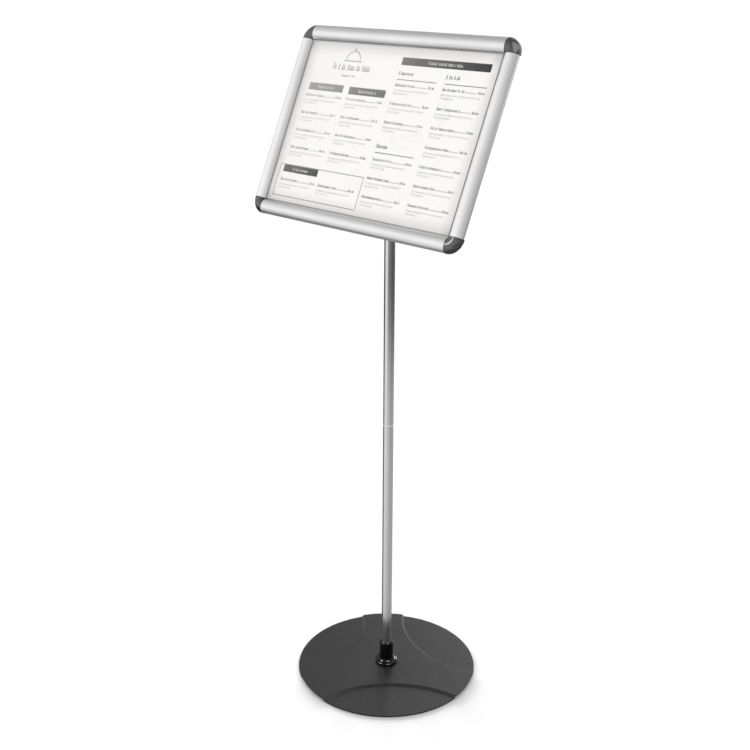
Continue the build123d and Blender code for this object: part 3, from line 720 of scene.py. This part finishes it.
class Field:
    """Builds a brightness over direction out of Math nodes."""

    def __init__(self, tree):
        self.tree = tree
        place = tree.nodes.new("ShaderNodeTexCoord")
        unit = tree.nodes.new("ShaderNodeVectorMath")
        unit.operation = "NORMALIZE"
        tree.links.new(place.outputs["Object"], unit.inputs[0])
        parts = tree.nodes.new("ShaderNodeSeparateXYZ")
        tree.links.new(unit.outputs[0], parts.inputs[0])
        behind_x = self.do("MULTIPLY", parts.outputs["X"], -1.0)
        front_y = self.do("MULTIPLY", parts.outputs["Y"], -1.0)
        # azimuth counted from the left of the stand, so that its jump falls on the right
        self.azimuth = self.do("SUBTRACT", self.do("DEGREES", self.do("ARCTAN2", front_y, behind_x)), 90.0)
        self.elevation = self.do("DEGREES", self.do("ARCSINE", parts.outputs["Z"]))

    def do(self, operation, *values):
        """One Math node fed with numbers or sockets."""
        made = self.tree.nodes.new("ShaderNodeMath")
        made.operation = operation
        for socket, value in zip(made.inputs, values):
            if isinstance(value, (int, float)):
                socket.default_value = value
            else:
                self.tree.links.new(value, socket)
        return made.outputs[0]

    def step(self, source, middle, soft, rising=True):
        """Smooth step of half-width soft round the middle."""
        made = self.tree.nodes.new("ShaderNodeMapRange")
        made.interpolation_type = "SMOOTHSTEP"
        made.inputs["From Min"].default_value = middle - soft
        made.inputs["From Max"].default_value = middle + soft
        made.inputs["To Min"].default_value = 0.0 if rising else 1.0
        made.inputs["To Max"].default_value = 1.0 if rising else 0.0
        self.tree.links.new(source, made.inputs["Value"])
        return made.outputs["Result"]

    def window(self, source, low, high, soft):
        """One between low and high, with soft ends."""
        return self.do("MULTIPLY", self.step(source, low, soft), self.step(source, high, soft, rising=False))

    def panel(self, low_azimuth, high_azimuth, low_elevation, high_elevation, soft_azimuth, soft_elevation):
        """One inside a soft-edged rectangle of directions."""
        return self.do(
            "MULTIPLY",
            self.window(self.azimuth, low_azimuth, high_azimuth, soft_azimuth),
            self.window(self.elevation, low_elevation, high_elevation, soft_elevation),
        )

    def dim(self, brightness, mask, share):
        """Takes the given share of the brightness away where the mask is one."""
        kept = self.do("SUBTRACT", 1.0, self.do("MULTIPLY", mask, share))
        return self.do("MULTIPLY", brightness, kept)

    def glow(self, source, centre, spread):
        """Bell curve over one angle."""
        away = self.do("DIVIDE", self.do("SUBTRACT", source, centre), spread)
        return self.do("EXPONENT", self.do("MULTIPLY", self.do("MULTIPLY", away, away), -1.0))


# The studio as a brightness over direction, in degrees. Azimuth runs from -270 to 90.
AMBIENT = 0.3
# one broad soft light in front and to the left
BROAD_LIGHT = 0.8
BROAD_AZIMUTH, BROAD_WIDTH = -38.0, 90.0
BROAD_ELEVATION, BROAD_HEIGHT = 10.0, 44.0
# low dark flags above the floor, open in front of the broad light
FLAG_DEPTH = 0.78
FLAG_OPENING = (-60.0, 11.0, 6.0)
FLAG_BAND = (-19.5, -10.0, 3.0)
# pale floor, darker again close under the stand
FLOOR_GLOW = 0.13
FLOOR_EDGE, FLOOR_SOFTNESS = -20.0, 2.0
NEAR_FLOOR_DEPTH = 0.45
NEAR_FLOOR_EDGE, NEAR_FLOOR_SOFTNESS = -37.0, 3.5
# deeper flags on the left and behind on the left: azimuths, elevations and their softness
LEFT_FLAG_DEPTH = 0.8
LEFT_FLAG = (-165.0, -54.0, -39.0, -11.0, 4.0, 3.0)
REAR_FLAG_DEPTH = 0.7
REAR_FLAG = (-141.0, -112.0, -14.0, 24.0, 6.0, 5.0)
# second soft light, behind on the right, with a wing that reaches round to the right
BACK_LIGHT = 0.85
BACK_PANEL = (-230.0, -140.0, -8.0, 62.0, 7.0, 8.0)
BACK_WING = (-264.0, -220.0, 26.0, 62.0, 6.0, 8.0)
DOME_RADIUS = 12.0
DOME_CENTRE = (0, 0, 0.8)


def studio_brightness(tree):
    """Socket with the studio's brightness in the direction of each point of the dome."""
    field = Field(tree)
    do = field.do
    across = field.glow(field.azimuth, BROAD_AZIMUTH, BROAD_WIDTH)
    broad = do("MULTIPLY", field.glow(field.elevation, BROAD_ELEVATION, BROAD_HEIGHT), across)
    total = do("ADD", do("MULTIPLY", broad, BROAD_LIGHT), AMBIENT)
    closed = do("SUBTRACT", 1.0, field.window(field.azimuth, *FLAG_OPENING))
    low_flag = do("MULTIPLY", field.window(field.elevation, *FLAG_BAND), closed)
    total = field.dim(total, low_flag, FLAG_DEPTH)
    pale_floor = field.step(field.elevation, FLOOR_EDGE, FLOOR_SOFTNESS, rising=False)
    total = do("ADD", total, do("MULTIPLY", pale_floor, FLOOR_GLOW))
    near_floor = field.step(field.elevation, NEAR_FLOOR_EDGE, NEAR_FLOOR_SOFTNESS, rising=False)
    total = field.dim(total, near_floor, NEAR_FLOOR_DEPTH)
    total = field.dim(total, field.panel(*LEFT_FLAG), LEFT_FLAG_DEPTH)
    total = field.dim(total, field.panel(*REAR_FLAG), REAR_FLAG_DEPTH)
    back = do("MAXIMUM", field.panel(*BACK_PANEL), field.panel(*BACK_WING))
    return do("ADD", total, do("MULTIPLY", back, BACK_LIGHT))


def studio_dome():
    """What polished parts mirror: the studio's soft light round the stand, seen only in reflections."""
    data = bpy.data.meshes.new("studio_dome")
    shell = bmesh.new()
    bmesh.ops.create_uvsphere(shell, u_segments=48, v_segments=24, radius=DOME_RADIUS)
    bmesh.ops.reverse_faces(shell, faces=shell.faces)
    shell.to_mesh(data)
    shell.free()
    dome = bpy.data.objects.new("studio_dome", data)
    bpy.context.scene.collection.objects.link(dome)
    material = bpy.data.materials.new("studio_light")
    material.use_nodes = True
    tree = material.node_tree
    tree.nodes.clear()
    emission = tree.nodes.new("ShaderNodeEmission")
    tree.links.new(studio_brightness(tree), emission.inputs["Strength"])
    out = tree.nodes.new("ShaderNodeOutputMaterial")
    tree.links.new(emission.outputs[0], out.inputs["Surface"])
    data.materials.append(material)
    for ray in ("camera", "diffuse", "transmission", "volume_scatter", "shadow"):
        setattr(dome, f"visible_{ray}", False)
    dome.location = DOME_CENTRE


studio_dome()

world = bpy.data.worlds.new("studio")
bpy.context.scene.world = world
world.use_nodes = True
backdrop = world.node_tree.nodes["Background"]
backdrop.inputs["Color"].default_value = (1.0, 1.0, 1.0, 1.0)
backdrop.inputs["Strength"].default_value = 1.0


def soft_sun(name, azimuth, elevation, strength, softness):
    """Distant round light that lights the scene without showing in reflections."""
    lamp = bpy.data.lights.new(name, "SUN")
    lamp.energy = strength
    lamp.angle = math.radians(softness)
    lit = bpy.data.objects.new(name, lamp)
    lit.rotation_euler = (-direction(azimuth, elevation)).to_track_quat("-Z", "Y").to_euler()
    lit.visible_glossy = False
    bpy.context.scene.collection.objects.link(lit)


# low lights from behind, spread out so that the base throws one soft shadow and the pole none
REAR_STRENGTH = 3.15
REAR_ELEVATION = 10
REAR_SOFTNESS = 18
for azimuth in (-158, -137, -116, -95):
    soft_sun(f"rear_light_{-azimuth}", azimuth, REAR_ELEVATION, REAR_STRENGTH, REAR_SOFTNESS)

GLOSS_LIGHT_DISTANCE = 8.0  # inside the dome, so that a mirrored ray meets the lamp first


def gloss_light(name, azimuth, elevation, radiance, width, piece):
    """Round lamp, width degrees across, that lights one glossy piece alone and shows as its highlight."""
    lamp = bpy.data.lights.new(name, "POINT")
    lamp.shadow_soft_size = GLOSS_LIGHT_DISTANCE * math.tan(math.radians(width / 2))
    lamp.energy = 4 * math.pi**2 * lamp.shadow_soft_size**2 * radiance
    lit = bpy.data.objects.new(name, lamp)
    low, high = Vector(piece.bound_box[0]), Vector(piece.bound_box[6])
    lit.location = (low + high) / 2 + direction(azimuth, elevation) * GLOSS_LIGHT_DISTANCE
    bpy.context.scene.collection.objects.link(lit)
    receivers = bpy.data.collections.new(f"{name}_receivers")
    receivers.objects.link(piece)
    lit.light_linking.receiver_collection = receivers


gloss_light("collar_spot", -33, 42, 42.0, 24, collar)
gloss_light("collar_streak", 70, 46, 12.0, 40, collar)
gloss_light("collar_rear_streak", -168, 16, 10.0, 26, collar)
gloss_light("cap_spot", -37, 23, 24.0, 6, nodes["corner_cap_bottom_right"])
gloss_light("cap_patch", 50, 66, 1.3, 56, nodes["corner_cap_top_right"])

# ---------------------------------------------------------------- camera

CAMERA_PLACE = (1.2375, -1.3497, 1.2446)
PITCH = math.radians(20.109)
AZIMUTH = math.radians(43.245)
ROLL = math.radians(0.229)
level = Vector((math.cos(AZIMUTH), math.sin(AZIMUTH), 0))
ahead = Vector((-math.sin(AZIMUTH), math.cos(AZIMUTH), 0))
forward = ahead * math.cos(PITCH) - Vector((0, 0, math.sin(PITCH)))
rise = level.cross(forward)
side_axis = level * math.cos(ROLL) + rise * math.sin(ROLL)
top_axis = side_axis.cross(forward)
camera_data = bpy.data.cameras.new("camera")
camera_data.lens = 55.071
camera_data.sensor_width = 36
camera_data.clip_end = 200  # takes in the whole floor
camera = bpy.data.objects.new("camera", camera_data)
turn = Matrix((side_axis, top_axis, -forward)).transposed().to_4x4()
camera.matrix_world = Matrix.Translation(CAMERA_PLACE) @ turn
bpy.context.scene.collection.objects.link(camera)
bpy.context.scene.camera = camera
bpy.context.scene.view_settings.view_transform = "Standard"
